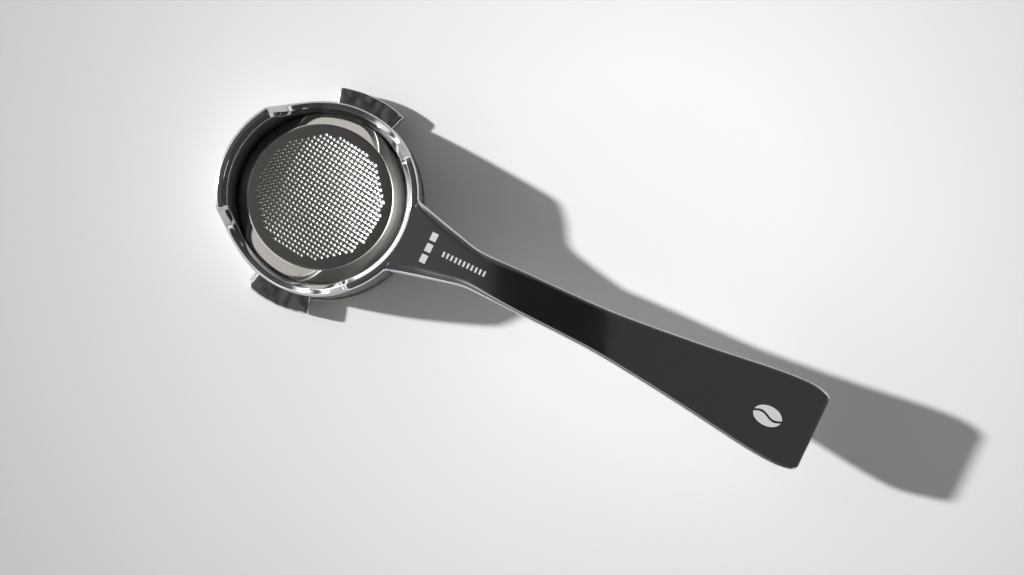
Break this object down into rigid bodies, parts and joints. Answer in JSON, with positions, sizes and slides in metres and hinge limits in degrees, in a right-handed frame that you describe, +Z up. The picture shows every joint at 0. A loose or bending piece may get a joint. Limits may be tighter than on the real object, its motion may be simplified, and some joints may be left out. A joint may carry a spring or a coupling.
{
  "type": "portafilter",
  "caption": "Bottomless espresso portafilter lying upside down: open ring with bayonet ears, sprung filter basket and a flat flared metal handle.",
  "frame": {"origin": "on the plane of the basket flange that the part stands on, under the middle of the whole object's box; the ring's vertical axis is 74.07 mm from it towards -X", "axes": "+X from the ring along the handle to its tip, +Y to the side with an ear, +Z up, which is downwards in use because the part lies upside down on its basket flange"},
  "size_m": [0.2182, 0.0804, 0.0334],
  "materials": {
    "mirror_steel": "mirror polished stainless steel casting",
    "basket_steel": "pressed and polished stainless sheet",
    "spring_steel": "drawn spring wire",
    "cover_steel": "satin stainless plate",
    "screw_steel": "turned stainless screw",
    "gasket_rubber": "moulded silicone"
  },
  "bodies": {
    "basket": {"filter_basket": "basket_steel"},
    "spring": {"basket_retaining_spring": "spring_steel"},
    "holder": {"portafilter_body": "mirror_steel", "handle_cover": "cover_steel", "cover_gasket": "gasket_rubber", "cover_screw_1": "screw_steel", "cover_screw_2": "screw_steel", "cover_screw_3": "screw_steel", "cover_screw_4": "screw_steel", "cover_screw_5": "screw_steel"}
  },
  "joints": [
    {"name": "basket_pull_out", "type": "slide", "parent": "basket", "child": "spring", "axis": [0, 0, 1], "range_m": [0, 0.022]},
    {"name": "basket_turn", "type": "hinge", "parent": "spring", "child": "holder", "pos_m": [-0.07407, 0, 0.006], "axis": [0, 0, 1], "continuous": true}
  ]
}
